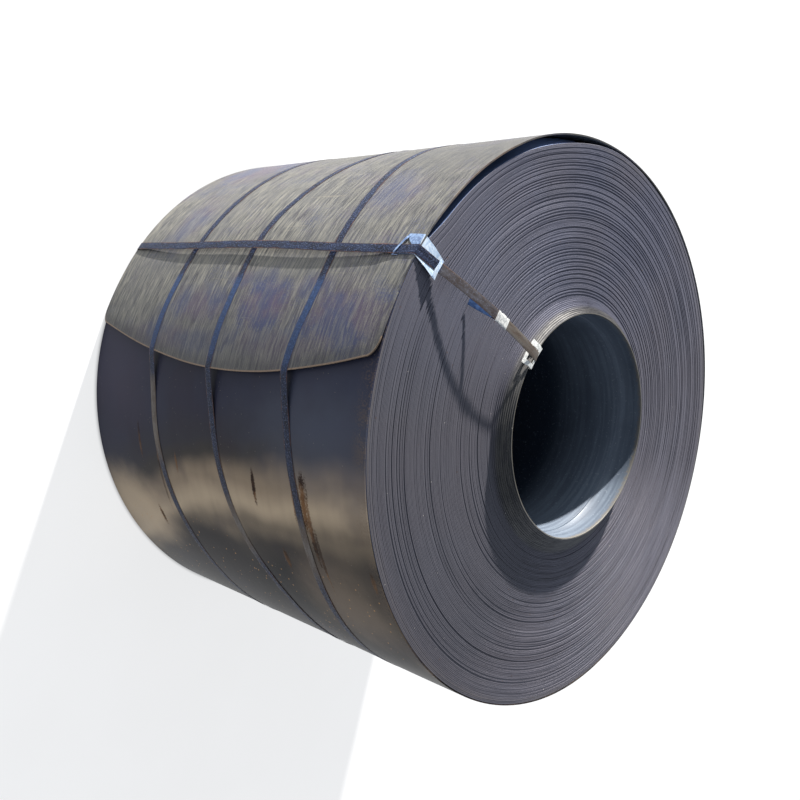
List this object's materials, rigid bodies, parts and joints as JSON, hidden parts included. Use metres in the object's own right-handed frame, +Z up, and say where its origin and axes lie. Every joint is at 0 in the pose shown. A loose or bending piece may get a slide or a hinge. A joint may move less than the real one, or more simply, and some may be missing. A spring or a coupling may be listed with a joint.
{
  "type": "steel coil",
  "caption": "Heavy coil of thick hot-rolled steel strip standing on its end, with belly and eye straps, a crimped seal and edge protectors.",
  "frame": {"origin": "centre of the bore, half-way along the strip's width", "axes": "+Z up along the bore, with the end that has the strap seal on top; the loose end of the strip faces -Y; the side that is uppermost when the coil lies as it was loaded faces -X"},
  "size_m": [1.9473, 1.9443, 1.6121],
  "materials": {
    "mill_scale_steel": "hot-rolled mill scale, weathered, with light rust",
    "painted_strap": "dark blue painted strapping, worn and rusty at its edges",
    "seal_steel": "crimped bare steel",
    "galvanised_sheet": "galvanised, bright"
  },
  "bodies": {
    "root": {"coil": "mill_scale_steel", "belly_strap_far": "painted_strap", "belly_strap_mid": "painted_strap", "belly_strap_near": "painted_strap", "eye_strap": "painted_strap", "strap_seal": "seal_steel", "outer_protector": "galvanised_sheet", "inner_protector": "galvanised_sheet"}
  },
  "joints": []
}
